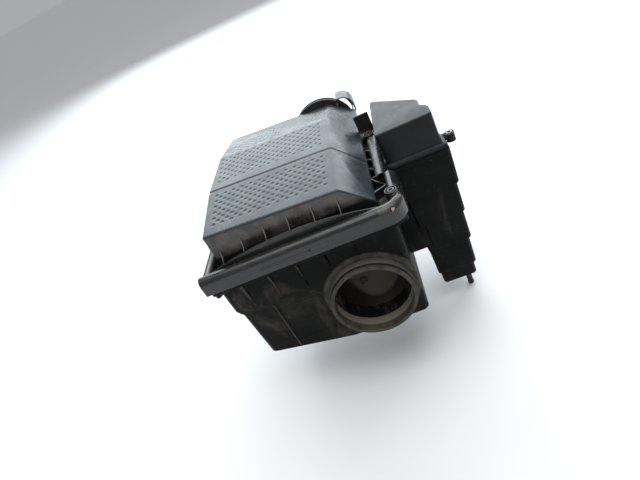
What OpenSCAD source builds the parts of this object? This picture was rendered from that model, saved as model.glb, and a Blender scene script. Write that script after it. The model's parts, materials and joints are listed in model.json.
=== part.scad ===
// Air filter housing: lower case, side resonator, lift-off cover and panel filter.
// Millimetres. +X to the right, +Y to the back, +Z up.
// Inside the modules the datum is the front left corner of the cover's top.
// The whole part is then moved so that the centre of the inlet's mouth is the origin.

/* [Part] */
// which piece to draw

/* [Rim] */
// width of the rim rail along the front
rim_w = 305; // [303:1:307]
// depth of the rim rail, front to back
rim_d = 248; // [246:1:250]
// width of the rail's hollow section
rail_w = 19; // [18:0.5:20]
// how far the rim's left side leans inwards towards the back
rim_lean = 13; // [9:0.5:14]
// how far the rim's right side steps in to clear the resonator
rim_jog = 11.5; // [11:0.5:13]

/* [Cover] */
// drop of the cover's smooth side facet
facet_drop = 36.4; // [32:0.2:40]
// width of the cross groove
groove_w = 5.6; // [4:0.2:7]
// number of gussets along the front wall
front_gussets = 6; // [4:1:6]

/* [Inlet and outlet] */
// bore radius of the inlet collar
inlet_r = 57; // [50:0.5:58]
// outside radius of the outlet spigot
outlet_r = 45; // [40:0.5:46]

/* [Filter] */
// number of paper folds
folds = 27; // [16:1:30]
// height of the paper folds
fold_h = 52; // [40:1:54]

/* [Hidden] */
wall = 2.8;
eps = 0.02;
$fn = 64;

// rim rail
rim_x0 = -31;
rim_y0 = -32;
rim_x1 = rim_x0 + rim_w;
rim_y1 = rim_y0 + rim_d;
rail_r = rail_w / 2;
rail_top = -45.5;
rail_z = rail_top - rail_r;
rail_wall = 3;
side_rail_r = rail_r - 1.1;
part_z = -66;
lip_z = -73;
corner_right = 28;
lean = atan2(rim_lean, rim_d);
jog_y = 60;
rear_x1 = rim_x1 - rim_jog;

// cover: left edge, ridge and facet edge at the front, groove, crease and back
station_y = [0, 106, 210, 316];
left_x = [0, 0.6, 8.4, 10.5];
left_z = [0, 10, 13.4, -4];
ridge_x = 198.5;
ridge_z = [-11, -1, 2.3, -18.5];
facet_x = 238.5;
facet_z = ridge_z[0] - facet_drop;
facet_slope = facet_drop / (facet_x - ridge_x);
top_t = 3;

// arched fence behind the rail
fence_mid_x = 112;
fence_top = -32;
fence_arc_r = 470;
fence_y = rim_y0 + rail_w;

// case
flange_z = -69.6;
flange_t = 4.4;
band_z = -81;
case_x0 = -21;
case_x1 = 253;
case_y0 = -17;
case_y1 = 200;
ledge_z = -130;
ledge_bottom = -143;
floor_left = -231;
floor_right = -254;

// inlet collar
inlet_x = 180;
inlet_z = -180;
inlet_mouth = -38;
collar_t = 3.5;
collar_ring_r = inlet_r + 11;

// outlet
outlet_x = 177;
outlet_z = -60;
outlet_flange_r = 56;
plenum_y = 316;
plenum_half = 60;
outlet_bore = outlet_r - 3;

// flow sensor on the right side of the plenum
sensor_x = outlet_x + plenum_half + 6;
sensor_y = 290;
sensor_z = -92;
sensor_screw_z = 9.6;

// x of a line at distance t inside the rim's leaning left side
function left_in(y, t) = rim_x0 + (y - rim_y0) * tan(lean) + t / cos(lean);

// captive screws: [x, y]
screw_left = [48, 112, 176];
screw_at = concat([[rim_x1 - 13, 3], [rear_x1 - 12, 190]], [for (y = screw_left) [left_in(y, 12), y]]);
screw_shank_r = 2.9;
insert_bore = 2.95;
insert_r = 4.2;
screw_head_z = -47;
screw_tip = -88;

// resonator sections from the top down: left x, right x at the top and at the foot, front y, top z
res_left = [266, 269, 271, 272, 275];
res_right = [355.5, 349, 344, 339, 332.5];
res_foot = [352.5, 347, 342.5, 336.5, 331.5];
res_front = [80, 83, 86, 89, 92];
res_top = [-64, -122.5, -177, -231.5, -286];
res_bottom = -311;
res_flange_z = -58;
res_cover_top = 0;

// neck between case and resonator: [x, y, z] low and high corners
neck_lo = [240, 86, -220];
neck_hi = [281, 176, -96];

// drain nipples: [x, y, z of the floor they hang from]
res_drain_at = [317, 112, -311];
case_drain_at = [150, 100, -254];

// mounting pegs and eyes
peg_at = [[32, 168], [214, 168]];
peg_r = 7;
peg_tip = -280;
boot_r = 10;
rear_eye = [64, 226, -120];
side_eye = [362.5, 104, -57];
sleeve_r = 4.2;
sleeve_bore = 3.2;

// ---------- helpers ----------

module at_datum() {
  translate([-inlet_x, -inlet_mouth, -inlet_z]) children();
}

module box(lo, hi) {
  translate(lo) cube(hi - lo);
}

// plate standing in the YZ plane, centred on x
module yz_plate(x, t) {
  translate([x - t / 2, 0, 0]) rotate([90, 0, 90]) linear_extrude(t) children();
}

// plate standing in the XZ plane, from y towards the front
module xz_plate(y, t) {
  translate([0, y, 0]) rotate([90, 0, 0]) linear_extrude(t) children();
}

// round bar along Y
module y_bar(x, y0, y1, z, r) {
  translate([x, y1, z]) rotate([90, 0, 0]) cylinder(h = y1 - y0, r = r);
}

// round bar along X on the sensor's axis
module x_bar(x0, x1, r) {
  translate([x0, sensor_y, sensor_z]) rotate([0, 90, 0]) cylinder(h = x1 - x0, r = r);
}

// ring along Y
module y_ring(x, y0, y1, z, r_out, r_in) {
  difference() {
    y_bar(x, y0, y1, z, r_out);
    y_bar(x, y0 - 1, y1 + 1, z, r_in);
  }
}

// rim outline, stepped in by g from the outside of the rail
module rim_outline(g) {
  x1 = rim_x1 - g;
  x2 = rear_x1 - g;
  y0 = rim_y0 + g;
  y1 = rim_y1 - g;
  r = corner_right - g;
  polygon([
    [left_in(y0, g), y0], [x1 - r, y0], [x1, y0 + r], [x1, jog_y - g],
    [x2, jog_y - g], [x2, y1 - r], [x2 - r, y1], [left_in(y1, g), y1]
  ]);
  translate([x1 - r, y0 + r]) circle(r = r);
  translate([x2 - r, y1 - r]) circle(r = r);
}

// rounded rectangle made of exact lines and arcs
module round_rect(x0, y0, x1, y1, r) {
  translate([x0 + r, y0]) square([x1 - x0 - 2 * r, y1 - y0]);
  translate([x0, y0 + r]) square([x1 - x0, y1 - y0 - 2 * r]);
  for (x = [x0 + r, x1 - r], y = [y0 + r, y1 - r]) translate([x, y]) circle(r = r);
}

// thin disc used as a corner of a drafted box
module corner_disc(x, y, z, r) {
  translate([x, y, z]) cylinder(h = eps, r = r, $fn = 32);
}

// x of a case wall that starts at x at the front and leans with the rim's left side
function lean_x(x, y) = x + (y - case_y0) * tan(lean);

// four corner discs of a case section at one height
module corner_ring(x0, y0, x1, y1, z, r) {
  for (y = [y0 + r, y1 - r]) {
    corner_disc(lean_x(x0 + r, y), y, z, r);
    corner_disc(x1 - r, y, z, r);
  }
}

// ---------- case ----------

module case_upper(g) {
  r = 9 - g;
  hull() {
    corner_ring(case_x0 + g, case_y0 + g, case_x1 - g, case_y1 - g, flange_z - 2, r);
    corner_ring(case_x0 + g, case_y0 + 0.6 + g, case_x1 - 2 - g, case_y1 - 1 - g, ledge_z, r);
    corner_ring(case_x0 + 6 + g, case_y0 + 3 + g, case_x1 - 4 - g, case_y1 - 4 - g, ledge_bottom, r);
  }
}

module case_lower(g) {
  r = 9 - g;
  hull() {
    corner_ring(case_x0 + 6 + g, case_y0 + 3 + g, case_x1 - 4 - g, case_y1 - 4 - g, ledge_bottom + 1, r);
    for (y = [case_y0 + 4 + g + r, case_y1 - 6 - g - r]) {
      corner_disc(lean_x(case_x0 + 9 + g + r, y), y, floor_left + g, r);
      corner_disc(125, y, floor_right + g, r);
      corner_disc(case_x1 - 8 - g - r, y, floor_right + 3 + g, r);
    }
  }
}

// triangular gusset under the flange, pointing out of a wall
module case_gusset_profile(reach, drop) {
  polygon([[3, 0], [-reach, 0], [-reach, -5], [0, -drop], [3, -drop]]);
}

module case_gussets() {
  // front wall; the two on the right stop above the inlet ring
  for (i = [0:4]) {
    yz_plate(14 + 43.3 * i, 2.2)
      translate([case_y0, flange_z - flange_t])
        case_gusset_profile(9, i < 3 ? 56 : 36);
  }
  // left wall and back wall
  for (y = [6, 54, 102, 150]) {
    xz_plate(y, 2.2) translate([lean_x(case_x0, y), flange_z - flange_t]) case_gusset_profile(6, 54);
  }
  for (x = [14, 110, 158, 206]) {
    yz_plate(x, 2.2)
      translate([case_y1, flange_z - flange_t])
        mirror([1, 0]) case_gusset_profile(10, 54);
  }
}

module screw_tower(p) {
  translate([p[0], p[1], screw_tip - 6]) cylinder(h = flange_z - screw_tip + 6, r = 7.6);
}

module inlet_collar() {
  y_bar(inlet_x, -19, -9, inlet_z, collar_ring_r);
  y_bar(inlet_x, inlet_mouth, -8, inlet_z, inlet_r + collar_t);
  y_bar(inlet_x, inlet_mouth, inlet_mouth + 5, inlet_z, inlet_r + collar_t + 2);
}

module rear_eye_lug() {
  translate([rear_eye[0], rear_eye[1], rear_eye[2] - 5]) cylinder(h = 10, r = 15);
  box([rear_eye[0] - 15, case_y1 - 4, rear_eye[2] - 5], [rear_eye[0] + 15, rear_eye[1], rear_eye[2] + 5]);
}

module case_outside() {
  case_upper(0);
  case_lower(0);
  // flange and the band below it
  translate([0, 0, flange_z - flange_t]) linear_extrude(flange_t) rim_outline(4.4);
  translate([0, 0, band_z]) linear_extrude(flange_z - band_z - 1)
    difference() {
      rim_outline(5);
      rim_outline(7.6);
    }
  // tongue tab on the front band
  box([164, rim_y0 + 3.6, band_z - 2], [223, rim_y0 + 6, flange_z - flange_t + 1]);
  // locating lug at the front left
  translate([-20, -20, -87]) cylinder(h = 15, r = 5.5);
  case_gussets();
  inlet_collar();
  // upright rib below the ledge
  box([36, case_y0 + 1, floor_left - 4], [38.2, case_y0 + 9, ledge_bottom + 2]);
  rear_eye_lug();
  for (p = peg_at) translate([p[0], p[1], peg_tip]) cylinder(h = 60, r = peg_r);
}

module case_shell() {
  color([0.09, 0.09, 0.09])
  at_datum() difference() {
    union() {
      difference() {
        case_outside();
        case_upper(wall);
        case_lower(wall);
        // mouth over the filter
        translate([0, 0, flange_z - flange_t - 1]) linear_extrude(10) rim_outline(rail_w + 2);
        y_bar(inlet_x, inlet_mouth - 1, 4, inlet_z, inlet_r);
        box(neck_lo, neck_hi);
      }
      for (p = screw_at) screw_tower(p);
    }
    // bores for the inserts and the screw tips
    for (p = screw_at) translate([p[0], p[1], screw_tip - 2]) cylinder(h = 40, r = insert_r);
    translate([rear_eye[0], rear_eye[1], rear_eye[2] - 20]) cylinder(h = 40, r = 9);
    translate(case_drain_at - [0, 0, 10]) cylinder(h = 20, r = 5);
    // shallow panel below the ledge
    box([42, case_y0 - 1, -222], [112, case_y0 + 4.2, ledge_bottom - 6]);
  }
}

module inlet_seal() {
  color([0.13, 0.11, 0.10])
  at_datum() y_ring(inlet_x, -30, -19, inlet_z, inlet_r + 7, inlet_r + collar_t);
}

module inlet_trough() {
  color([0.05, 0.05, 0.05])
  at_datum() difference() {
    y_ring(inlet_x, -8, 14, inlet_z, inlet_r + 2, inlet_r - 1);
    box([inlet_x - 80, -9, inlet_z + 6], [inlet_x + 80, 15, inlet_z + 80]);
  }
}

module screw_inserts() {
  color([0.75, 0.6, 0.3])
  at_datum() for (p = screw_at) {
    translate([p[0], p[1], screw_tip]) difference() {
      cylinder(h = 16, r = insert_r);
      translate([0, 0, -1]) cylinder(h = 18, r = insert_bore);
    }
  }
}

// drain nipple hanging from its floor, with a flat slit-like tip
module drain_nipple(length) {
  rotate_extrude() polygon([
    [0, 3], [7, 3], [7, 0], [5, 0], [5, -wall], [8, -wall], [8, -6],
    [5.6, -7], [4.4, -length + 6], [5.2, -length + 4], [5.2, -length], [0, -length]
  ]);
}

module resonator_drain() {
  color([0.07, 0.07, 0.07])
  at_datum() translate(res_drain_at + [0, 0, wall]) drain_nipple(37);
}

module case_drain() {
  color([0.07, 0.07, 0.07])
  at_datum() translate(case_drain_at + [0, 0, wall]) drain_nipple(24);
}

module eye_grommet() {
  color([0.1, 0.1, 0.1])
  at_datum() translate(rear_eye) difference() {
    union() {
      translate([0, 0, -7.6]) cylinder(h = 15.2, r = 9);
      for (z = [-7.6, 5]) translate([0, 0, z]) cylinder(h = 2.6, r = 12);
    }
    translate([0, 0, -9]) cylinder(h = 18, r = sleeve_r);
  }
}

module peg_boots() {
  color([0.06, 0.06, 0.06])
  at_datum() for (p = peg_at) translate([p[0], p[1], peg_tip]) difference() {
    cylinder(h = 16, r = boot_r);
    translate([0, 0, -1]) cylinder(h = 18, r = peg_r);
  }
}

module sleeve(length) {
  difference() {
    cylinder(h = length, r = sleeve_r, center = true);
    cylinder(h = length + 2, r = sleeve_bore, center = true);
  }
}

module eye_sleeves() {
  color([0.7, 0.7, 0.72])
  at_datum() {
    translate(rear_eye) sleeve(18);
    translate(side_eye) sleeve(14);
  }
}

// ---------- resonator ----------

// plan of the chamber between a left x, a right x and a front y, stepped in by g
module res_plan(xl, xr, yf, g) {
  polygon([
    [xl + g, yf + 4], [xl + g + 4, yf + g], [xr - g - 4, yf + g], [xr - g, yf + 4 + g],
    [xr - g, 106], [xr - g - 2, 112], [xr - g - 9, 120], [xr - g - 10, 124], [xr - g - 10, 141 - g / 2],
    [xr - g - 13, 146 - g], [xl + 13 + g, 202 - 1.6 * g], [xl + 8 + g, 203 - 2 * g], [xl + 6 + g, 198 - g]
  ]);
}

function res_low(i) = i == 4 ? res_bottom : res_top[i + 1];

// one section of the chamber; its right side draws in towards the foot
module res_section(i, g, z_low, z_high) {
  xl = res_left[i];
  taper = (res_right[i] - xl) / (res_foot[i] - xl);
  translate([xl, 0, z_low]) linear_extrude(z_high - z_low, scale = [taper, 1], slices = 1)
    translate([-xl, 0]) res_plan(xl, res_foot[i], res_front[i], g);
}

// hollow sections of the chamber, numbered in rows; each opens into the one above it
module res_shell(rows) {
  difference() {
    for (i = rows) res_section(i, 0, res_low(i), res_top[i]);
    for (i = rows) {
      res_section(i, wall, res_low(i) + wall, res_top[i] + (i == rows[0] ? 0.5 : 0));
      translate([0, 0, res_low(i) - 1]) linear_extrude(wall + 2)
        if (i < 4) res_plan(res_left[i + 1] + 0.6, res_foot[i + 1], res_front[i + 1], wall);
    }
  }
}

// upper part of the chamber, with the flange that takes the cover
module resonator_body() {
  color([0.07, 0.07, 0.07])
  at_datum() difference() {
    union() {
      res_shell([0:2]);
      difference() {
        translate([0, 0, res_flange_z - 6]) linear_extrude(6) res_plan(264.6, 354, 76, -1);
        translate([0, 0, res_flange_z - 7]) linear_extrude(8)
          res_plan(res_left[0], res_foot[0], res_front[0], wall);
      }
    }
    box(neck_lo, neck_hi);
  }
}

// lower part of the chamber, welded below the body
module resonator_foot() {
  color([0.07, 0.07, 0.07])
  at_datum() difference() {
    res_shell([3:4]);
    translate(res_drain_at - [0, 0, 10]) cylinder(h = 20, r = 5);
  }
}

module resonator_cover() {
  color([0.3, 0.32, 0.34])
  at_datum() difference() {
    union() {
      translate([0, 0, res_flange_z]) linear_extrude(res_cover_top - res_flange_z)
        res_plan(264, 348, 80, 0);
      translate([0, 0, res_flange_z]) linear_extrude(7) res_plan(264.6, 353, 76, -1);
      // lug of the side eye
      box([350, side_eye[1] - 6, res_flange_z], [side_eye[0], side_eye[1] + 6, res_flange_z + 7]);
      translate([side_eye[0], side_eye[1], res_flange_z - 6]) cylinder(h = 13, r = 7);
    }
    translate([0, 0, res_flange_z - 1]) linear_extrude(res_cover_top - res_flange_z + 1 - wall)
      res_plan(264, 348, 80, wall);
    translate([side_eye[0], side_eye[1], -80]) cylinder(h = 40, r = sleeve_r);
  }
}

module resonator_neck() {
  color([0.06, 0.06, 0.06])
  at_datum() difference() {
    box(neck_lo, neck_hi);
    box([neck_lo[0] - 1, neck_lo[1] + wall, neck_lo[2] + wall],
        [neck_hi[0] + 1, neck_hi[1] - wall, neck_hi[2] - wall]);
  }
}

// ---------- filter element ----------

filter_x0 = 2;
filter_x1 = 240;
filter_y0 = -6;
filter_y1 = 188;
frame_t = 7;
grid_top = part_z - 0.6;
paper_top = grid_top - 2.6;
frame_bottom = paper_top - fold_h - 2;

module filter_frame() {
  color([0.75, 0.45, 0.16])
  at_datum() difference() {
    union() {
      translate([0, 0, part_z - 3]) linear_extrude(2.4) rim_outline(rail_w - 2.4);
      translate([0, 0, frame_bottom]) linear_extrude(part_z - 0.6 - frame_bottom)
        round_rect(filter_x0, filter_y0, filter_x1, filter_y1, 4);
    }
    box([filter_x0 + frame_t, filter_y0 + frame_t, frame_bottom - 1],
        [filter_x1 - frame_t, filter_y1 - frame_t, part_z + 1]);
  }
}

module filter_pleats() {
  paper = 0.9;
  span = filter_x1 - filter_x0 - 2 * frame_t;
  pitch = span / folds;
  upper = [for (i = [0:2 * folds])
    [i * pitch / 2, i % 2 == 0 ? -fold_h : -paper * 3]];
  lower = [for (i = [2 * folds:-1:0])
    [i * pitch / 2, i % 2 == 0 ? -fold_h - paper * 2 : -paper * 5]];
  color([0.85, 0.8, 0.65])
  at_datum() translate([filter_x0 + frame_t, 0, paper_top])
    xz_plate(filter_y1 - frame_t, filter_y1 - filter_y0 - 2 * frame_t)
      polygon(concat(upper, lower));
}

module filter_grid() {
  x0 = filter_x0 + frame_t;
  x1 = filter_x1 - frame_t;
  y0 = filter_y0 + frame_t;
  y1 = filter_y1 - frame_t;
  bars_x = 6;
  bars_y = 5;
  color([0.5, 0.5, 0.48])
  at_datum() {
    for (i = [0:bars_x]) {
      x = x0 + i * (x1 - x0 - 2) / bars_x;
      box([x, y0, paper_top], [x + 2, y1, grid_top]);
    }
    for (i = [0:bars_y]) {
      y = y0 + i * (y1 - y0 - 2) / bars_y;
      box([x0, y, paper_top], [x1, y + 2, grid_top]);
    }
  }
}

// ---------- cover ----------

// profile of the cover at station i: sides moved out by s, top lowered by d
module station_profile(i, s, d, low) {
  polygon([
    [left_x[i] - s, low],
    [left_x[i] - s, left_z[i] - d],
    [ridge_x, ridge_z[i] - d],
    [facet_x + s, facet_z - d - s * facet_slope],
    [facet_x + s, low]
  ]);
}

module cover_solid(s, d, low) {
  hull() for (i = [0:3]) {
    y_out = i == 0 ? -s : i == 3 ? s : 0;
    xz_plate(station_y[i] + y_out, eps) station_profile(i, s, d, low);
  }
}

// rail section of bead radius r: a round top and two legs, the outside one longer
module rail_profile(r) {
  circle(r = r);
  translate([-r, part_z - rail_z]) square([2 * r, rail_z - part_z]);
  translate([r - rail_wall, lip_z - rail_z]) square([rail_wall, rail_z - lip_z]);
}

module rail_hollow() {
  in_r = rail_r - rail_wall;
  circle(r = in_r);
  translate([-in_r, -40]) square([2 * in_r, 40]);
}

// straight run: starts at p and runs clockwise, outside facing angle a
module rail_run(p, a, length) {
  translate([p[0], p[1], rail_z]) rotate([0, 0, a]) rotate([90, 0, 0])
    linear_extrude(length) children();
}

// right-hand corner about [x, y], starting at angle a
module rail_corner(x, y, a) {
  translate([x, y, rail_z]) rotate([0, 0, a]) rotate_extrude(angle = 90)
    translate([corner_right - rail_r, 0]) children();
}

// front, right and back of the rail; its square left ends stop short by a gap
module rail_sweep(gap) {
  xr = rim_x1 - corner_right;
  xb = left_in(rim_y1 - rail_r, 0) + gap;
  rail_run([rim_x1 - rail_r, jog_y], 0, jog_y - rim_y0 - corner_right) children();
  rail_run([rear_x1 - rail_r, rim_y1 - corner_right], 0, rim_y1 - corner_right - jog_y) children();
  rail_run([xr, rim_y0 + rail_r], -90, xr - rim_x0 - gap) children();
  rail_run([xb, rim_y1 - rail_r], 90, xr - rim_jog - xb) children();
  rail_corner(xr, rim_y0 + corner_right, -90) children();
  rail_corner(xr - rim_jog, rim_y1 - corner_right, 0) children();
}

// slimmer, solid left side, running between the middles of the front and back lengths
module side_run() {
  ya = rim_y0 + rail_r;
  yb = rim_y1 - rail_r;
  a = [left_in(ya, rail_r), ya];
  b = [left_in(yb, rail_r), yb];
  rail_run(a, 180 - lean, norm(b - a)) children();
}

module rail() {
  difference() {
    union() {
      rail_sweep(0) rail_profile(rail_r);
      side_run() rail_profile(side_rail_r);
    }
    rail_sweep(rail_wall) rail_hollow();
  }
}

// arched fence standing on the inner leg of the front rail
module fence() {
  xz_plate(fence_y, 2.4) intersection() {
    translate([rim_x0 + 3, part_z]) square([278, 60]);
    translate([fence_mid_x, fence_top - fence_arc_r]) circle(r = fence_arc_r, $fn = 256);
  }
}

function fence_height(x) = fence_top - pow(x - fence_mid_x, 2) / (2 * fence_arc_r);

// gusset between the front wall and the fence, with a hollow curved edge
module front_gusset(x) {
  z_foot = fence_height(x);
  yz_plate(x, 2) difference() {
    polygon([[1, -15], [1, part_z + 2], [fence_y - 1, part_z + 2], [fence_y - 1, -15]]);
    translate([-24, z_foot + 22]) circle(r = 24);
  }
}

// thin upright web between two plan points, in the channel beside the facet
module side_web(p, q) {
  d = q - p;
  translate([p[0], p[1], part_z + 1]) rotate([0, 0, atan2(d[1], d[0])])
    translate([0, -1, 0]) cube([norm(d), 2, facet_z - part_z - 2]);
}

module side_webs() {
  x0 = facet_x - 1;
  x1 = rim_x1 - rail_w + 1.5;
  x2 = rear_x1 - rail_w + 1.5;
  side_web([x0, 22], [x1, 30]);
  side_web([x0, 60], [x1, 30]);
  side_web([x0, 60], [x1 - 4, 66]);
  for (y = [92, 122, 152]) side_web([x0, y], [x2, y - 8]);
}

module screw_boss(p) {
  translate([p[0], p[1], part_z]) cylinder(h = screw_head_z + 5 - part_z, r = 9);
}

module plenum() {
  in_half = plenum_half - 3;
  difference() {
    union() {
      box([outlet_x - plenum_half, rim_y1 + 4, outlet_z - 60], [outlet_x + plenum_half, plenum_y, part_z + 3]);
      x_bar(outlet_x + plenum_half - 1, sensor_x, 14);
    }
    box([outlet_x - in_half, rim_y1 + 7, outlet_z - 57], [outlet_x + in_half, plenum_y - 3, part_z + 6]);
    x_bar(outlet_x + in_half - 1, sensor_x + 1, 7.4);
    for (s = [-1, 1]) translate([0, 0, sensor_screw_z * s]) x_bar(sensor_x - 5.5, sensor_x + 1, 1.25);
  }
  // outlet face, carried up behind the sloping top
  xz_plate(plenum_y + 3, 3) difference() {
    union() {
      translate([outlet_x, outlet_z]) circle(r = outlet_flange_r);
      translate([outlet_x - plenum_half, outlet_z - 60]) square([2 * plenum_half, 60]);
    }
    translate([outlet_x, outlet_z]) circle(r = outlet_bore);
  }
}

module cover_skirt() {
  color([0.1, 0.1, 0.1])
  at_datum() difference() {
    union() {
      // side walls under the top
      difference() {
        cover_solid(0, top_t, part_z);
        cover_solid(-wall, top_t - 1, part_z - 1);
      }
      // floor of the channel round the walls
      translate([0, 0, part_z]) linear_extrude(3) difference() {
        rim_outline(rail_w - 1);
        polygon([
          [wall, wall], [facet_x - wall, wall],
          [facet_x - wall, filter_y1], [left_x[2] + wall, filter_y1]
        ]);
      }
      // floor of the overhanging back
      translate([0, 0, part_z]) linear_extrude(3) difference() {
        translate([left_x[3], rim_y1 - 3]) square([facet_x - left_x[3], plenum_y - rim_y1 + 3]);
        translate([outlet_x - plenum_half + 3, rim_y1 + 7])
          square([2 * plenum_half - 6, plenum_y - rim_y1 - 10]);
      }
      rail();
      fence();
      for (i = [0:front_gussets - 1]) front_gusset(11 + 36 * i);
      side_webs();
      // moulded pips on the front of the rail
      for (x = [62, 134]) y_bar(x, rim_y0 - 0.8, rim_y0 + 2, -62, 1.3);
      for (p = screw_at) screw_boss(p);
      plenum();
      // screen standing on the rear rail beside the facet
      box([facet_x - 2, rim_y1 - 4, rail_z], [rear_x1 - 1, rim_y1 - 1, -17]);
    }
    // bore and head recess of each captive screw
    for (p = screw_at) translate([p[0], p[1], part_z - 1]) {
      cylinder(h = 40, r = 3.3);
      translate([0, 0, screw_head_z - part_z + 1]) cylinder(h = 12, r = 6.6);
    }
    outlet_bolts() y_bar(0, plenum_y - 5, plenum_y + 4, 0, screw_hole_r);
    // way from the cover's inside into the outlet
    y_bar(outlet_x, plenum_y - 6, plenum_y + 4, outlet_z, outlet_bore);
  }
}

module cover_top() {
  color([0.38, 0.41, 0.44])
  at_datum() difference() {
    cover_solid(0, 0, part_z);
    cover_solid(2, top_t, part_z - 2);
    // cross groove over the top and down the facet
    for (leg = [0, 1]) groove_leg(leg);
  }
}

// leg 0 of the groove runs over the top, leg 1 down the facet
module groove_leg(leg) {
  y = station_y[1];
  a = leg == 0 ? [left_x[1], left_z[1]] : [ridge_x, ridge_z[1]];
  b = leg == 0 ? [ridge_x, ridge_z[1]] : [facet_x, facet_z];
  dx = b[0] - a[0];
  dz = b[1] - a[1];
  length = sqrt(dx * dx + dz * dz);
  translate([a[0], y, a[1]]) rotate([0, -atan2(dz, dx), 0])
    box([-3, -groove_w / 2, -1.2], [length + 3, groove_w / 2, 6]);
}

module sensor_hood() {
  x = 219;
  z = -37;
  r = 21.5;
  t = 2.6;
  foot = z - 13;
  back = 352;
  color([0.3, 0.32, 0.34])
  at_datum() difference() {
    union() {
      y_bar(x, plenum_y, back, z, r);
      box([x - r, plenum_y, foot], [x + r, back, z]);
    }
    y_bar(x, plenum_y - 1, back - t, z, r - t);
    box([x - r + t, plenum_y - 1, foot - 1], [x + r - t, back - t, z]);
    y_bar(outlet_x, plenum_y - 1, back + 1, outlet_z, outlet_flange_r + 0.4);
  }
}

// ---------- outlet ----------

flange_y0 = plenum_y + 5;
flange_y1 = flange_y0 + 6;
outlet_end = flange_y1 + 18;
outlet_bolt_r = 50.5;
screw_hole_r = 2.25;

module outlet_bolts() {
  for (a = [45:90:315]) {
    translate([outlet_x + outlet_bolt_r * cos(a), 0, outlet_z + outlet_bolt_r * sin(a)]) children();
  }
}

module outlet_tube() {
  color([0.11, 0.11, 0.11])
  at_datum() difference() {
    union() {
      y_bar(outlet_x, flange_y0, flange_y1, outlet_z, outlet_flange_r);
      y_bar(outlet_x, flange_y0, outlet_end, outlet_z, outlet_r);
    }
    y_bar(outlet_x, flange_y0 - 1, outlet_end + 1, outlet_z, outlet_bore);
    outlet_bolts() y_bar(0, flange_y0 - 1, flange_y1 + 1, 0, 2.6);
  }
}

module outlet_seal() {
  color([0.05, 0.05, 0.05])
  at_datum() y_ring(outlet_x, plenum_y + 3, flange_y0, outlet_z, outlet_r + 1.5, outlet_r - 1.5);
}

module outlet_screws() {
  color([0.6, 0.6, 0.62])
  at_datum() outlet_bolts() {
    y_bar(0, flange_y0 - 8, flange_y1, 0, 2.2);
    y_bar(0, flange_y1, flange_y1 + 3.5, 0, 4.6);
  }
}

module flow_sensor() {
  color([0.12, 0.12, 0.12])
  at_datum() difference() {
    union() {
      x_bar(190, sensor_x, 7);
      box([sensor_x, sensor_y - 9, sensor_z - 13], [sensor_x + 3, sensor_y + 9, sensor_z + 13]);
      box([sensor_x + 3, sensor_y - 6, sensor_z - 7], [sensor_x + 14, sensor_y + 6, sensor_z + 7]);
    }
    for (s = [-1, 1]) translate([0, 0, sensor_screw_z * s]) x_bar(sensor_x - 1, sensor_x + 4, 1.3);
  }
}

module sensor_seal() {
  color([0.4, 0.15, 0.1])
  at_datum() difference() {
    x_bar(sensor_x - 5, sensor_x - 3, 7.4);
    x_bar(sensor_x - 6, sensor_x - 2, 7);
  }
}

module sensor_screws() {
  color([0.6, 0.6, 0.62])
  at_datum() for (s = [-1, 1]) translate([0, 0, sensor_screw_z * s]) {
    x_bar(sensor_x + 3, sensor_x + 5.2, 2.6);
    x_bar(sensor_x - 5, sensor_x + 3, 1.2);
  }
}

module flow_grid() {
  color([0.2, 0.2, 0.2])
  at_datum() intersection() {
    y_bar(outlet_x, flange_y0 + 1, flange_y0 + 5, outlet_z, outlet_bore);
    union() {
      for (i = [-4:4]) {
        box([outlet_x + 9 * i - 0.6, flange_y0, outlet_z - 60],
            [outlet_x + 9 * i + 0.6, flange_y0 + 6, outlet_z + 60]);
        box([outlet_x - 60, flange_y0, outlet_z + 9 * i - 0.6],
            [outlet_x + 60, flange_y0 + 6, outlet_z + 9 * i + 0.6]);
      }
      y_ring(outlet_x, flange_y0, flange_y0 + 6, outlet_z, outlet_bore, outlet_bore - 1.5);
    }
  }
}

// ---------- captive screws ----------

module cover_screw(i) {
  color([0.3, 0.3, 0.31])
  at_datum() translate([screw_at[i][0], screw_at[i][1], 0]) difference() {
    union() {
      translate([0, 0, screw_head_z]) cylinder(h = 1.4, r = 6);
      translate([0, 0, screw_head_z]) cylinder(h = 5, r = 5);
      translate([0, 0, screw_tip + 1]) cylinder(h = screw_head_z - screw_tip, r = screw_shank_r);
    }
    translate([0, 0, screw_head_z + 2.4]) cylinder(h = 4, r = 2.9, $fn = 6);
  }
}

// ---------- assembly ----------

case_shell();
inlet_seal();
inlet_trough();
screw_inserts();
resonator_neck();
resonator_body();
resonator_foot();
resonator_cover();
resonator_drain();
case_drain();
eye_grommet();
eye_sleeves();
peg_boots();
filter_pleats();
filter_frame();
filter_grid();
cover_skirt();
cover_top();
sensor_hood();
outlet_tube();
outlet_seal();
outlet_screws();
flow_sensor();
sensor_seal();
sensor_screws();
flow_grid();
cover_screw(0);  // cover_screw_1
cover_screw(1);  // cover_screw_2
cover_screw(2);  // cover_screw_3
cover_screw(3);  // cover_screw_4
cover_screw(4);  // cover_screw_5
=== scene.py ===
"""Looks of the air filter housing: materials, edge rounding, the dimpled top, floor, light and camera."""

import json
import math

import bpy
import numpy as np
from mathutils import Matrix, Vector
from mathutils.bvhtree import BVHTree


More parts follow.
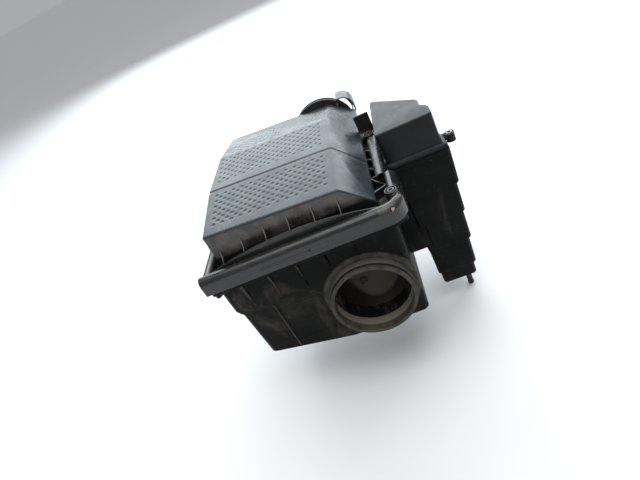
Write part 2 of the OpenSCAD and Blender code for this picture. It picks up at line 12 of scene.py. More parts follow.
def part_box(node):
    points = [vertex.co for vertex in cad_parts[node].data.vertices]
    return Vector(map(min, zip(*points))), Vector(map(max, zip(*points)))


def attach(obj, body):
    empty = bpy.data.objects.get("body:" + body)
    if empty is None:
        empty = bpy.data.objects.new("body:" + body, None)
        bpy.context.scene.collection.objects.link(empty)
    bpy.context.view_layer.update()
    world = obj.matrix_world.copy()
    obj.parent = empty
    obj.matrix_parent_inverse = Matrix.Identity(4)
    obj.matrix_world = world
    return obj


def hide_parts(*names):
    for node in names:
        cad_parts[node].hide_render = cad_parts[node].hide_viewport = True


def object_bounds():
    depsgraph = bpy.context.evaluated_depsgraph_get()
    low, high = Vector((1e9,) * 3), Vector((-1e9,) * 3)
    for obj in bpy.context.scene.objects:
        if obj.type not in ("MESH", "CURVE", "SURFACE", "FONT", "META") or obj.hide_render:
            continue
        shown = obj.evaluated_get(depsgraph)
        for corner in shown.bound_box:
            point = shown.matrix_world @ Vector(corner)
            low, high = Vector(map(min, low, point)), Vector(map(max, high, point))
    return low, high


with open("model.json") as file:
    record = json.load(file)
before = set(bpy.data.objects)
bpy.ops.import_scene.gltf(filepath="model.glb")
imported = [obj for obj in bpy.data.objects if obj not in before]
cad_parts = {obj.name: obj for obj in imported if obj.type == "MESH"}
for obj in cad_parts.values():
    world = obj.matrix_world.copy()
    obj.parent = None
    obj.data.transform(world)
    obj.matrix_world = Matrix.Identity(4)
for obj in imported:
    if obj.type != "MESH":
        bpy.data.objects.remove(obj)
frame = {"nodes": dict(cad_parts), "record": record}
cad_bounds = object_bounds()

MM = 0.001

# places that the materials need, taken from the frame
collar_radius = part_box("inlet_seal")[1].x + 4 * MM
collar_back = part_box("inlet_trough")[0].y + 2 * MM
case_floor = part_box("case_drain")[1].z - 4 * MM
facet_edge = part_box("cover_top")[1].x
rail_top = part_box("cover_screw_1")[1].z
wall_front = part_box("cover_top")[0].y
paper_low, paper_high = (corner.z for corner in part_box("filter_pleats"))


# ---------- node helpers ----------

class Shader:
    """One node material, with short calls for the nodes that it needs."""

    def __init__(self, name):
        self.material = bpy.data.materials.new(name)
        self.material.use_nodes = True
        self.tree = self.material.node_tree
        self.bsdf = self.tree.nodes["Principled BSDF"]
        self.coords = self.tree.nodes.new("ShaderNodeTexCoord").outputs["Object"]
        self.facing = self.tree.nodes.new("ShaderNodeNewGeometry").outputs["Normal"]

    def link(self, source, target):
        """Joins a node's output to an input, or writes a plain value into the input."""
        if isinstance(source, bpy.types.NodeSocket):
            self.tree.links.new(source, target)
        else:
            target.default_value = source

    def noise(self, scale, detail=4.0, rough=0.55, stretch=(1, 1, 1), distort=0.0):
        mapping = self.tree.nodes.new("ShaderNodeMapping")
        mapping.inputs["Scale"].default_value = stretch
        self.tree.links.new(self.coords, mapping.inputs["Vector"])
        node = self.tree.nodes.new("ShaderNodeTexNoise")
        node.inputs["Scale"].default_value = scale
        node.inputs["Detail"].default_value = detail
        node.inputs["Roughness"].default_value = rough
        node.inputs["Distortion"].default_value = distort
        self.tree.links.new(mapping.outputs["Vector"], node.inputs["Vector"])
        return node.outputs["Fac"]

    def cells(self, scale):
        """Distance to the nearest of many scattered points."""
        node = self.tree.nodes.new("ShaderNodeTexVoronoi")
        node.inputs["Scale"].default_value = scale
        self.tree.links.new(self.coords, node.inputs["Vector"])
        return node.outputs["Distance"]

    def math(self, operation, a, b=0.0, clamp=False):
        node = self.tree.nodes.new("ShaderNodeMath")
        node.operation = operation
        node.use_clamp = clamp
        self.link(a, node.inputs[0])
        self.link(b, node.inputs[1])
        return node.outputs["Value"]

    def product(self, first, *others):
        for other in others:
            first = self.math("MULTIPLY", first, other)
        return first

    def largest(self, first, *others):
        for other in others:
            first = self.math("MAXIMUM", first, other)
        return first

    def ramp(self, value, low, high, out_low=0.0, out_high=1.0):
        """Smooth step from out_low at low to out_high at high."""
        node = self.tree.nodes.new("ShaderNodeMapRange")
        node.interpolation_type = "SMOOTHSTEP"
        self.link(value, node.inputs["Value"])
        node.inputs["From Min"].default_value = low
        node.inputs["From Max"].default_value = high
        node.inputs["To Min"].default_value = out_low
        node.inputs["To Max"].default_value = out_high
        return node.outputs["Result"]

    def mix(self, factor, a, b):
        node = self.tree.nodes.new("ShaderNodeMix")
        node.data_type = "RGBA"
        self.link(factor, node.inputs["Factor"])
        self.link(rgba(a), node.inputs["A"])
        self.link(rgba(b), node.inputs["B"])
        return node.outputs["Result"]

    def axis(self, vector, index):
        node = self.tree.nodes.new("ShaderNodeSeparateXYZ")
        self.tree.links.new(vector, node.inputs[0])
        return node.outputs[index]

    def facing_up(self, low=0.25, high=0.95):
        """0 on walls and undersides, 1 on level surfaces."""
        return self.ramp(self.axis(self.facing, 2), low, high)

    def bump(self, height, distance, strength=1.0, below=None):
        node = self.tree.nodes.new("ShaderNodeBump")
        node.inputs["Distance"].default_value = distance
        node.inputs["Strength"].default_value = strength
        self.link(height, node.inputs["Height"])
        if below is not None:
            self.tree.links.new(below, node.inputs["Normal"])
        return node.outputs["Normal"]

    def finish(self, color, roughness, normal, metallic=0.0, specular=0.5):
        self.link(rgba(color), self.bsdf.inputs["Base Color"])
        self.link(roughness, self.bsdf.inputs["Roughness"])
        self.bsdf.inputs["Metallic"].default_value = metallic
        self.bsdf.inputs["Specular IOR Level"].default_value = specular
        self.tree.links.new(normal, self.bsdf.inputs["Normal"])
        return self.material


def rgba(value):
    """Colours of three numbers get an alpha; anything else passes unchanged."""
    return (*value, 1.0) if isinstance(value, tuple) and len(value) == 3 else value


# ---------- materials ----------

DUST_AND_SHEEN = (0.23, 0.205, 0.175)


def weathered(shader, base, worn, dust_amount, grain_scale, grain_depth, rough, specular,
              extra_dust_and_sheen=None):
    """Moulded plastic: blotches, fine grain, scuffs, and dust that lies on level surfaces, plus an extra
    mask in the dust's colour that on the skirt is partly painted reflection and painted highlight.
    """
    blotch = shader.ramp(shader.noise(14, 6), 0.35, 0.68)
    color = shader.mix(blotch, base, worn)
    scuff = shader.ramp(shader.noise(70, 8, 0.7, (1, 4, 1), 0.6), 0.6, 0.74, 0, 0.35)
    color = shader.mix(scuff, color, tuple(min(1, 1.7 * c + 0.012) for c in worn))
    speck = shader.ramp(shader.noise(420, 3, 0.6), 0.62, 0.72, 0, 0.5)
    drift = shader.ramp(shader.noise(38, 9, 0.65), 0.38, 0.7)
    lying = shader.product(shader.facing_up(), drift)
    dust = shader.math("MULTIPLY", shader.math("ADD", lying, speck, True), dust_amount, True)
    # the extra mask adds real dust, and on the skirt also a painted reflection on the front wall and
    # painted highlights on the rib edges
    if extra_dust_and_sheen is not None:
        dust = shader.math("ADD", dust, extra_dust_and_sheen, True)
    color = shader.mix(dust, color, DUST_AND_SHEEN)
    grain = shader.bump(shader.noise(grain_scale, 3, 0.6), grain_depth)
    dents = shader.bump(shader.noise(18, 1.5), 0.3 * MM, 0.4, grain)
    patchy = shader.math("ADD", rough, shader.ramp(shader.noise(48, 5), 0.3, 0.7, -0.07, 0.09))
    roughness = shader.math("ADD", patchy, shader.product(dust, 0.35), True)
    return shader.finish(color, roughness, dents, specular=specular)


def near_collar(shader):
    """1 on the inlet collar, whose axis runs along Y through the origin."""
    x = shader.axis(shader.coords, 0)
    y = shader.axis(shader.coords, 1)
    z = shader.axis(shader.coords, 2)
    far = shader.math("SQRT", shader.math("ADD", shader.product(x, x), shader.product(z, z)))
    ring = shader.ramp(far, collar_radius + 2 * MM, collar_radius + 5 * MM, 1, 0)
    front = shader.ramp(y, collar_back, collar_back + 4 * MM, 1, 0)
    return shader.product(ring, front)


def inside_case(shader):
    """1 on the case's inside faces, which are brown with dust, 0 on its outside."""
    filter_low, filter_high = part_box("filter_frame")
    middle = (filter_low + filter_high) / 2
    low = Vector((filter_low.x - 22 * MM, filter_low.y - 10 * MM, case_floor - 8 * MM))
    high = Vector((filter_high.x + 12 * MM, filter_high.y + 10 * MM, filter_high.z))
    share = 1.0
    inward = 0.0
    for axis in range(3):
        value = shader.axis(shader.coords, axis)
        to_middle = shader.math("SUBTRACT", middle[axis], value)
        inward = shader.math("ADD", inward, shader.product(shader.axis(shader.facing, axis), to_middle))
        past = shader.math("GREATER_THAN", value, low[axis])
        before = shader.math("LESS_THAN", value, high[axis])
        share = shader.product(share, past, before)
    return shader.product(share, shader.ramp(inward, 0, 4 * MM))


def case_plastic():
    shader = Shader("case_plastic")
    grit = shader.ramp(shader.noise(60, 10, 0.7), 0.3, 0.62, 0.25, 0.8)
    collar = shader.product(near_collar(shader), grit, 0.34)
    inner = shader.product(inside_case(shader), 0.75)
    smear = shader.ramp(shader.noise(15, 9, 0.68, (1, 1, 0.6), 0.8), 0.52, 0.72, 0, 0.2)
    spatter = shader.ramp(shader.noise(120, 7, 0.75), 0.6, 0.7, 0, 0.16)
    return weathered(shader, base=(0.0045, 0.0045, 0.0045), worn=(0.009, 0.0088, 0.0084),
                     dust_amount=0.12, grain_scale=900, grain_depth=0.16 * MM, rough=0.38,
                     specular=0.07, extra_dust_and_sheen=shader.largest(collar, smear, spatter, inner))


def dirt_beside_facet(shader):
    """Dirt in patches on the level strip of the rail to the right of the facet."""
    across = shader.axis(shader.coords, 0)
    begins = shader.ramp(across, facet_edge - 3 * MM, facet_edge)
    ends = shader.ramp(across, facet_edge + 13 * MM, facet_edge + 17 * MM, 1, 0)
    patches = shader.ramp(shader.noise(55, 9, 0.7), 0.4, 0.6)
    return shader.product(begins, ends, patches, shader.facing_up(0.1, 0.8), 0.42)


def dust_and_painted_reflection_on_front_wall(shader):
    """Dust above the rail, with a painted reflection that lightens the front wall, thick from behind the
    fence to the front wall and thin further back; the ribs' upward-tilted edges get a painted highlight.
    """
    above_rail = shader.ramp(shader.axis(shader.coords, 2), rail_top, rail_top + 4 * MM)
    depth = shader.axis(shader.coords, 1)
    behind_fence = shader.ramp(depth, wall_front - 12 * MM, wall_front - 4 * MM)
    fading = shader.ramp(depth, wall_front + 1 * MM, wall_front + 9 * MM, 1, 0.12)
    # dust patches, which also paint a reflection that lightens the wall
    dust_and_painted_reflection = shader.ramp(shader.noise(30, 8, 0.7), 0.35, 0.68, 0.05, 0.5)
    # painted highlight on the rib edges that tilt a little upward
    painted_rib_highlights = shader.product(shader.facing_up(0.02, 0.4), 0.35)
    return shader.product(above_rail, behind_fence, fading, shader.math("ADD", dust_and_painted_reflection, painted_rib_highlights))


def skirt_plastic():
    shader = Shader("skirt_plastic")
    # real dirt beside the facet, plus dust on the front wall that also carries a painted reflection and
    # painted rib highlights
    dirt_and_painted_sheen = shader.largest(dirt_beside_facet(shader), dust_and_painted_reflection_on_front_wall(shader))
    return weathered(shader, base=(0.011, 0.0112, 0.0114), worn=(0.018, 0.0178, 0.0175),
                     dust_amount=0.1, grain_scale=800, grain_depth=0.1 * MM, rough=0.24,
                     specular=0.6, extra_dust_and_sheen=dirt_and_painted_sheen)


def slate_plastic_with_painted_sky_tint():
    # lighter and bluer than the skirt's black plastic: the blue-grey cast is a painted sky reflection on
    # the top
    return weathered(Shader("cover_plastic"), base=(0.024, 0.034, 0.041), worn=(0.034, 0.045, 0.052),
                     dust_amount=0.07, grain_scale=1100, grain_depth=0.05 * MM, rough=0.27,
                     specular=0.5)


def box_lid_plastic():
    return weathered(Shader("box_lid_plastic"), base=(0.009, 0.0105, 0.012), worn=(0.015, 0.017, 0.019),
                     dust_amount=0.06, grain_scale=1000, grain_depth=0.08 * MM, rough=0.3,
                     specular=0.18)


def plain_black(name, base, worn, grain_scale):
    return weathered(Shader(name), base, worn, dust_amount=0.22, grain_scale=grain_scale,
                     grain_depth=0.14 * MM, rough=0.48, specular=0.4)


def gloss_duct():
    shader = Shader("gloss_duct")
    waves = shader.bump(shader.noise(34, 2, 0.4, (1, 1, 3), 0.4), 0.9 * MM, 0.5)
    fine = shader.bump(shader.noise(700, 2), 0.05 * MM, 1.0, waves)
    smear = shader.ramp(shader.noise(40, 6, 0.6, (3, 1, 1)), 0.45, 0.75)
    color = shader.mix(smear, (0.008, 0.008, 0.0085), (0.035, 0.031, 0.027))
    roughness = shader.ramp(smear, 0, 1, 0.14, 0.42)
    return shader.finish(color, roughness, fine, specular=0.6)


def rubber():
    shader = Shader("rubber")
    bloom = shader.ramp(shader.noise(90, 7, 0.65), 0.45, 0.75)
    color = shader.mix(bloom, (0.017, 0.0165, 0.016), (0.055, 0.05, 0.046))
    color = shader.mix(shader.product(shader.facing_up(), 0.4), color, DUST_AND_SHEEN)
    roughness = shader.ramp(bloom, 0, 1, 0.62, 0.86)
    pores = shader.bump(shader.noise(1300, 3, 0.7), 0.14 * MM)
    return shader.finish(color, roughness, pores, specular=0.3)


def metal(name, base, stain, rough, scale):
    """Machined or plated metal with fine lines, stains and tarnish."""
    shader = Shader(name)
    lines = shader.noise(scale, 4, 0.6, (1, 1, 14))
    tarnish = shader.ramp(shader.noise(160, 8, 0.7), 0.42, 0.7)
    color = shader.mix(tarnish, base, stain)
    brushed = shader.ramp(lines, 0.3, 0.7, rough - 0.08, rough + 0.08)
    roughness = shader.math("ADD", brushed, shader.product(tarnish, 0.22), True)
    return shader.finish(color, roughness, shader.bump(lines, 0.05 * MM, 0.7), metallic=1.0)


def filter_paper():
    shader = Shader("filter_paper")
    fibre = shader.noise(1400, 6, 0.75, (1, 6, 1))
    soot = shader.ramp(shader.noise(30, 8, 0.65), 0.35, 0.75)
    depth = shader.ramp(shader.axis(shader.coords, 2), paper_low, paper_high, 1, 0)
    grime = shader.math("MULTIPLY", soot, shader.math("ADD", depth, 0.35, True), True)
    color = shader.mix(fibre, (0.6, 0.52, 0.36), (0.76, 0.69, 0.52))
    color = shader.mix(shader.product(grime, 0.7), color, (0.2, 0.17, 0.13))
    return shader.finish(color, 0.92, shader.bump(fibre, 0.25 * MM), specular=0.15)


def polyurethane():
    shader = Shader("filter_frame")
    blotch = shader.ramp(shader.noise(26, 6), 0.35, 0.7)
    color = shader.mix(blotch, (0.5, 0.215, 0.055), (0.62, 0.31, 0.1))
    color = shader.mix(shader.product(shader.facing_up(), 0.25), color, DUST_AND_SHEEN)
    roughness = shader.ramp(blotch, 0, 1, 0.55, 0.72)
    foam = shader.bump(shader.cells(900), 0.18 * MM)
    return shader.finish(color, roughness, foam, specular=0.3)


def paint_mark():
    shader = Shader("paint_mark")
    thin = shader.ramp(shader.noise(600, 5, 0.7), 0.35, 0.6)
    color = shader.mix(thin, (0.42, 0.24, 0.13), (0.6, 0.33, 0.15))
    return shader.finish(color, shader.ramp(thin, 0, 1, 0.7, 0.45), shader.bump(thin, 0.1 * MM))


# ---------- meshes ----------

def mesh_piece(name, points, faces, material, smooth=True):
    mesh = bpy.data.meshes.new(name)
    mesh.from_pydata([tuple(p) for p in points], [], faces)
    mesh.update()
    if smooth:
        mesh.shade_smooth()
    mesh.materials.append(material)
    piece = bpy.data.objects.new(name, mesh)
    bpy.context.scene.collection.objects.link(piece)
    return piece


def node_tree_of(node):
    """Search tree over a CAD node's mesh."""
    mesh = frame["nodes"][node].data
    corners = [vertex.co.copy() for vertex in mesh.vertices]
    return BVHTree.FromPolygons(corners, [tuple(polygon.vertices) for polygon in mesh.polygons])


# ---------- rounded edges ----------

WELD_WITHIN = 0.01 * MM
FLAT_BELOW = math.radians(1)
SPLIT_FROM_CORNERS = 8
BEVEL_FROM = math.radians(38)
SHARP_FROM = math.radians(50)
# how far a point may lie off the CAD surface, as a share of the rounding's width
MOST_OFF = 0.45


def bevelled_draft(source, width):
    """Copy of a CAD node with modifiers that bevel its sharp edges."""
    draft = source.copy()
    draft.data = source.data.copy()
    bpy.context.scene.collection.objects.link(draft)
    weld = draft.modifiers.new("weld", "WELD")
    weld.merge_threshold = WELD_WITHIN
    merge = draft.modifiers.new("merge", "DECIMATE")
    merge.decimate_type = "DISSOLVE"
    merge.angle_limit = FLAT_BELOW
    # large faces are cut up before the bevel, or one of them closes over the inlet's mouth
    split = draft.modifiers.new("split", "TRIANGULATE")
    split.min_vertices = SPLIT_FROM_CORNERS
    bevel = draft.modifiers.new("bevel", "BEVEL")
    bevel.width = width
    bevel.segments = 2
    bevel.limit_method = "ANGLE"
    bevel.angle_limit = BEVEL_FROM
    bevel.use_clamp_overlap = False
    return draft


def rounded(node, body, width):
    """Stands in for a CAD node, with its sharp edges rounded.

    Points that the bevel throws off go back to the CAD surface, and none leaves the node's box.
    """
    source = frame["nodes"][node]
    draft = bevelled_draft(source, width)
    bpy.context.view_layer.update()
    result = draft.evaluated_get(bpy.context.evaluated_depsgraph_get()).to_mesh()
    tree = node_tree_of(node)
    low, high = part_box(node)
    points = []
    for vertex in result.vertices:
        nearest, _, _, away = tree.find_nearest(vertex.co)
        point = Vector(vertex.co) if away < MOST_OFF * width else nearest
        points.append([min(max(value, least), most) for value, least, most in zip(point, low, high)])
    faces = [tuple(polygon.vertices) for polygon in result.polygons]
    material = source.data.materials[0]
    bpy.data.objects.remove(draft)
    piece = mesh_piece(node + "_rounded", points, faces, material)
    piece.data.set_sharp_from_angle(angle=SHARP_FROM)
    normals = piece.modifiers.new("normals", "WEIGHTED_NORMAL")
    normals.keep_sharp = True
    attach(piece, body)
    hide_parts(node)


# ---------- dimpled top ----------

GRID_STEP = 1.05 * MM
EDGE_INSET = 0.02 * MM
TOP_EDGE = 2.2 * MM
TOP_THICKNESS = 3.0 * MM
TOP_LIP = 3.3 * MM
RIDGE_AT = 198.5 * MM
GROOVE_AT = 106 * MM
GROOVE_HALF = 2.8 * MM
GROOVE_DEPTH = 1.15 * MM
GROOVE_SHOULDER = 1.1 * MM
DIMPLE_PITCH = 14 * MM
DIMPLE_R = 3.0 * MM
DIMPLE_DEPTH = 0.75 * MM
DIMPLES_FROM_LEFT = 15.7 * MM
DIMPLES_FROM_RIDGE = 9 * MM
# panels of dimples: distance of the first row from the front, number of rows, dimples in the longer rows
DIMPLE_PANELS = [(21 * MM, 11, 13), (129.4 * MM, 11, 13), (219.4 * MM, 7, 8)]


def drop_on(tree, x, y, top):
    """Height of the surface below (x, y), or None beside it."""
    hit = tree.ray_cast(Vector((x, y, top)), Vector((0, 0, -1)))[0]
    return None if hit is None else hit.z


def spaced(length):
    """Distances along an edge-to-edge line: close together near both ends, even between.

    Both ends come twice, so that the outermost points can drop straight down as a lip.
    """
    near = [t * TOP_EDGE for t in (0, 0, 0.06, 0.2, 0.42, 0.7, 1.0)]
    between = length - 2 * TOP_EDGE
    count = max(2, round(between / GRID_STEP))
    middle = [TOP_EDGE + between * i / count for i in range(1, count)]
    return near + middle + [length - t for t in reversed(near)]


def even_out(heights, reach):
    """Rounds creases: each height becomes the mean of itself and of pairs of opposite neighbours."""
    total = heights.copy()
    count = 1
    for axis in (0, 1):
        for step in range(1, reach + 1):
            ahead = np.roll(heights, -step, axis)
            behind = np.roll(heights, step, axis)
            pair = (ahead + behind) / 2
            rows = [slice(None), slice(None)]
            rows[axis] = slice(0, step)
            pair[tuple(rows)] = heights[tuple(rows)]
            rows[axis] = slice(heights.shape[axis] - step, None)
            pair[tuple(rows)] = heights[tuple(rows)]
            total += pair
            count += 1
    return total / count


def left_edge(tree, y, low_x, above):
    """Where the left edge of the top crosses the line y, found by halving."""
    miss = low_x - 1 * MM
    hit = low_x + 30 * MM
    for _ in range(14):
        middle = (miss + hit) / 2
        if drop_on(tree, middle, y, above) is None:
            miss = middle
        else:
            hit = middle
    return hit


def height_without_groove(tree, x, y, groove_y, above):
    """Height of the top at (x, y), bridged across the CAD's groove; None beside the top."""
    clear = GROOVE_HALF + 1.2 * MM
    if abs(y - groove_y) >= clear:
        return drop_on(tree, x, y, above)
    beside = x + 0.4 * MM
    before = drop_on(tree, beside, groove_y - clear, above)
    after = drop_on(tree, beside, groove_y + clear, above)
    before = after if before is None else before
    after = before if after is None else after
    share = (y - groove_y + clear) / (2 * clear)
    return None if before is None else before + (after - before) * share


def sampled_top(low, high):
    """Grid over the CAD's top, each row running from its own left edge: x, y and height."""
    tree = node_tree_of("cover_top")
    above = high.z + 10 * MM
    width = high.x - low.x
    across = spaced(width)
    along = spaced(high.y - low.y)
    grid_x = np.zeros((len(along), len(across)))
    grid_y = np.zeros_like(grid_x)
    heights = np.zeros_like(grid_x)
    for r, distance in enumerate(along):
        y = min(max(low.y + distance, low.y + EDGE_INSET), high.y - EDGE_INSET)
        left = left_edge(tree, y, low.x, above) + EDGE_INSET
        scale = (high.x - EDGE_INSET - left) / width
        for c, t in enumerate(across):
            x = left + t * scale
            height = height_without_groove(tree, x, y, low.y + GROOVE_AT, above)
            grid_x[r, c] = x
            grid_y[r, c] = y
            heights[r, c] = heights[r, c - 1] if height is None else height
    return grid_x, grid_y, heights


def dimple_centres(low):
    """Staggered rows of dimples on the three panels of the top."""
    centres = []
    for start, rows, most in DIMPLE_PANELS:
        for row in range(rows):
            odd = row % 2
            for i in range(most - odd):
                x = low.x + DIMPLES_FROM_LEFT + DIMPLE_PITCH * (i + odd / 2)
                y = low.y + start + DIMPLE_PITCH * row / 2
                if x < low.x + RIDGE_AT - DIMPLES_FROM_RIDGE:
                    centres.append((x, y))
    return centres


def dimple_depth(grid_x, grid_y, low):
    depth = np.zeros_like(grid_x)
    for x, y in dimple_centres(low):
        rows = np.where(np.abs(grid_y[:, 0] - y) < DIMPLE_R)[0]
        part = slice(rows[0], rows[-1] + 1)
        far = np.hypot(grid_x[part] - x, grid_y[part] - y) / DIMPLE_R
        bowl = np.cos(np.minimum(far, 1) * math.pi / 2) ** 0.6
        depth[part] += DIMPLE_DEPTH * np.where(far < 1, bowl, 0)
    return depth


def groove_depth(grid_y, groove_y):
    """Groove with rounded shoulders."""
    off = np.abs(grid_y - groove_y)
    inside = np.clip((GROOVE_HALF + 0.5 * MM - off) / GROOVE_SHOULDER, 0, 1)
    return GROOVE_DEPTH * inside * inside * (3 - 2 * inside)


def edge_drop(grid_x, grid_y):
    """How far the rounded outer edges lie below the rest of the top."""
    from_sides = np.minimum(grid_x - grid_x[:, :1], grid_x[:, -1:] - grid_x)
    from_ends = np.minimum(grid_y - grid_y[:1], grid_y[-1:] - grid_y)
    near = np.clip(1 - np.minimum(from_sides, from_ends) / TOP_EDGE, 0, 1)
    return TOP_EDGE * (1 - np.sqrt(np.clip(1 - near * near, 0, 1)))


def closed_sheet(grid_x, grid_y, top, under):
    """Points and faces of a top and an underside that share their outermost points."""
    rows, cols = top.shape
    points = [(grid_x[r, c], grid_y[r, c], top[r, c]) for r in range(rows) for c in range(cols)]
    upper = [[r * cols + c for c in range(cols)] for r in range(rows)]
    lower = [row.copy() for row in upper]
    for r in range(1, rows - 1):
        for c in range(1, cols - 1):
            lower[r][c] = len(points)
            points.append((grid_x[r, c], grid_y[r, c], under[r, c]))
    cells = [(r, c) for r in range(rows - 1) for c in range(cols - 1)]
    faces = [(upper[r][c], upper[r][c + 1], upper[r + 1][c + 1], upper[r + 1][c]) for r, c in cells]
    faces += [(lower[r][c], lower[r + 1][c], lower[r + 1][c + 1], lower[r][c + 1]) for r, c in cells]
    return points, faces


def dimpled_top(material):
    """The cover's top: the CAD surface with rounded creases and edges, dimples and the groove."""
    low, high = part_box("cover_top")
    grid_x, grid_y, heights = sampled_top(low, high)
    base = even_out(even_out(heights, 3), 3)
    top = base - dimple_depth(grid_x, grid_y, low) - groove_depth(grid_y, low.y + GROOVE_AT)
    top -= edge_drop(grid_x, grid_y)
    for border in (np.s_[0], np.s_[-1], np.s_[:, 0], np.s_[:, -1]):
        top[border] = base[border] - TOP_LIP
    points, faces = closed_sheet(grid_x, grid_y, top, base - TOP_THICKNESS)
    piece = mesh_piece("dimpled_top", points, faces, material)
    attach(piece, "cover")
    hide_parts("cover_top")


# ---------- dot of paint ----------

DOT_R = 2.1 * MM
DOT_CORNERS = 24
DOT_LEFT_OF_SCREW = 4.5 * MM
DOT_BELOW_SCREW_TOP = 9.5 * MM
# well in front of the part
DOT_SIGHT_FROM = -0.2


def paint_dot():
    """Small worn dot of paint on the front of the rail, beside the corner screw."""
    low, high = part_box("cover_screw_1")
    tree = node_tree_of("cover_skirt")
    centre_x = (low.x + high.x) / 2 - DOT_LEFT_OF_SCREW
    centre_z = high.z - DOT_BELOW_SCREW_TOP
    points = []
    for ring in (0.0, 0.5, 1.0):
        for i in range(DOT_CORNERS):
            turn = 2 * math.pi * i / DOT_CORNERS
            radius = ring * DOT_R * (1 + 0.22 * math.sin(3 * turn + 1) + 0.12 * math.sin(5 * turn))
            x = centre_x + radius * math.cos(turn)
            z = centre_z + radius * math.sin(turn)
            hit, normal, _, _ = tree.ray_cast(Vector((x, DOT_SIGHT_FROM, z)), Vector((0, 1, 0)))
            points.append(hit + normal * (0.16 - 0.1 * ring) * MM)
    faces = []
    for inner in (0, DOT_CORNERS):
        outer = inner + DOT_CORNERS
        for i in range(DOT_CORNERS):
            after = (i + 1) % DOT_CORNERS
            faces.append((inner + i, inner + after, outer + after, outer + i))
    piece = mesh_piece("paint_dot", points, faces, paint_mark())
    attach(piece, "cover")


# ---------- stage ----------

SCENE_MIDDLE = (0.03, 0.1, 0.05)
INLET_MOUTH = (0.0, 0.0, 0.0)
FLOOR_HALF = 60.0


def place_light(data, place, target):
    """Adds a light that points at the target and that the camera doesn't see."""
    light = bpy.data.objects.new(data.name, data)
    light.location = place
    light.visible_camera = False
    light.rotation_euler = (Vector(target) - Vector(place)).to_track_quat("-Z", "Y").to_euler()
    bpy.context.scene.collection.objects.link(light)


def soft_light(name, place, size, power, color):
    data = bpy.data.lights.new(name, "AREA")
    data.shape = "RECTANGLE"
    data.size = size[0]
    data.size_y = size[1]
    data.energy = power
    data.color = color
    place_light(data, place, SCENE_MIDDLE)


def duct_light():
    """Narrow soft beam into the inlet, so that the inside of the case can be seen."""
    data = bpy.data.lights.new("duct", "SPOT")
    data.energy = 26
    data.spot_size = math.radians(8)
    data.spot_blend = 0.9
    data.shadow_soft_size = 0.05
    place_light(data, (0.1, -1.05, 0.36), INLET_MOUTH)


def floor():
    shader = Shader("floor")
    tone = shader.mix(shader.noise(1.5, 2), (0.9, 0.9, 0.9), (0.93, 0.93, 0.93))
    material = shader.finish(tone, 0.9, shader.bump(shader.noise(40, 2), 0.05 * MM), specular=0.1)
    level = cad_bounds[0][2] - 0.5 * MM
    sides = ((-1, -1), (1, -1), (1, 1), (-1, 1))
    corners = [(x * FLOOR_HALF, y * FLOOR_HALF, level) for x, y in sides]
    mesh_piece("floor", corners, [(0, 1, 2, 3)], material, smooth=False)


def studio():
    world = bpy.data.worlds.new("studio")
    world.use_nodes = True
    background = world.node_tree.nodes["Background"]
    background.inputs["Color"].default_value = (0.93, 0.96, 1.0, 1.0)
    background.inputs["Strength"].default_value = 0.42
    bpy.context.scene.world = world
    soft_light("sky", place=(0.5, 2.6, 1.5), size=(4.8, 2.7), power=128, color=(0.87, 0.955, 1.0))
    soft_light("overhead", place=(0.2, -0.2, 2.4), size=(2.4, 2.4), power=42, color=(1.0, 1.0, 1.0))
    duct_light()
    bpy.context.scene.view_settings.view_transform = "Standard"


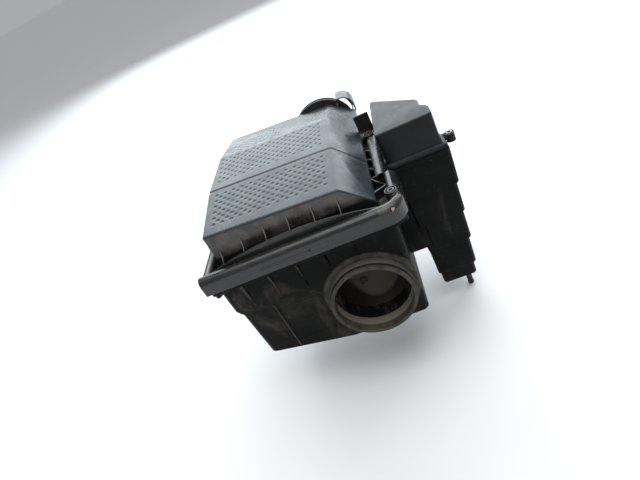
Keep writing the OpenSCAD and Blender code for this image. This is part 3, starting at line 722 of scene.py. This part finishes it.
def camera():
    """The photograph's camera, solved from the straight edges of the cover and the rim."""
    azimuth = math.radians(14.92)
    elevation = math.radians(32.48)
    roll = math.radians(-29.68)
    place = Vector((0.12676, -0.56981, 0.50681))
    flat = math.cos(elevation)
    back = Vector((math.sin(azimuth) * flat, -math.cos(azimuth) * flat, math.sin(elevation)))
    level = Vector((math.cos(azimuth), math.sin(azimuth), 0))
    upright = back.cross(level)
    right = level * math.cos(roll) + upright * math.sin(roll)
    up = upright * math.cos(roll) - level * math.sin(roll)
    data = bpy.data.cameras.new("camera")
    data.lens = 30.24
    data.sensor_width = 36
    data.clip_start = 0.01
    piece = bpy.data.objects.new("camera", data)
    turn = Matrix((right, up, back)).transposed().to_4x4()
    piece.matrix_world = Matrix.Translation(place) @ turn
    bpy.context.scene.collection.objects.link(piece)
    bpy.context.scene.camera = piece


# ---------- build ----------

finishes = {
    "case_plastic": case_plastic(),
    "skirt_plastic": skirt_plastic(),
    "cover_plastic": slate_plastic_with_painted_sky_tint(),
    "gloss_duct": gloss_duct(),
    "rubber": rubber(),
    "brass": metal("brass", (0.66, 0.47, 0.2), (0.36, 0.24, 0.1), 0.3, 500),
    "steel": metal("steel", (0.52, 0.52, 0.53), (0.3, 0.28, 0.26), 0.34, 500),
    "screw_steel": metal("screw_steel", (0.16, 0.155, 0.15), (0.075, 0.068, 0.06), 0.4, 600),
    "filter_paper": filter_paper(),
    "filter_frame": polyurethane(),
    "grid_plastic": plain_black("grid_plastic", (0.035, 0.035, 0.036), (0.06, 0.058, 0.055), 700),
    "sensor_plastic": plain_black("sensor_plastic", (0.022, 0.022, 0.025), (0.036, 0.036, 0.038), 1200),
}
slot_of = {part["node"]: part["material_slot"] for part in frame["record"]["subparts"]}
for node, slot in slot_of.items():
    materials = frame["nodes"][node].data.materials
    materials.clear()
    materials.append(finishes[slot])

# the resonator's lid is darker than the rest of the cover's plastic, whose lighter blue-grey base is a
# painted sky reflection
frame["nodes"]["resonator_cover"].data.materials[0] = box_lid_plastic()

# width of the rounding, in millimetres
ROUNDED = {
    "case_shell": 1.0, "cover_skirt": 0.9, "resonator_body": 1.6, "resonator_foot": 1.6,
    "resonator_cover": 3.2, "sensor_hood": 1.2, "outlet_tube": 1.0, "inlet_seal": 1.2,
    "resonator_neck": 1.0, "peg_boots": 1.5, "eye_grommet": 0.6, "flow_sensor": 0.7,
    "filter_frame": 1.2, "filter_grid": 0.3, "resonator_drain": 0.6, "case_drain": 0.6,
}
for body, nodes in frame["record"]["behaviour"]["bodies"].items():
    for node in nodes:
        if node in ROUNDED:
            rounded(node, body, ROUNDED[node] * MM)

dimpled_top(finishes["cover_plastic"])
paint_dot()
floor()
studio()
camera()
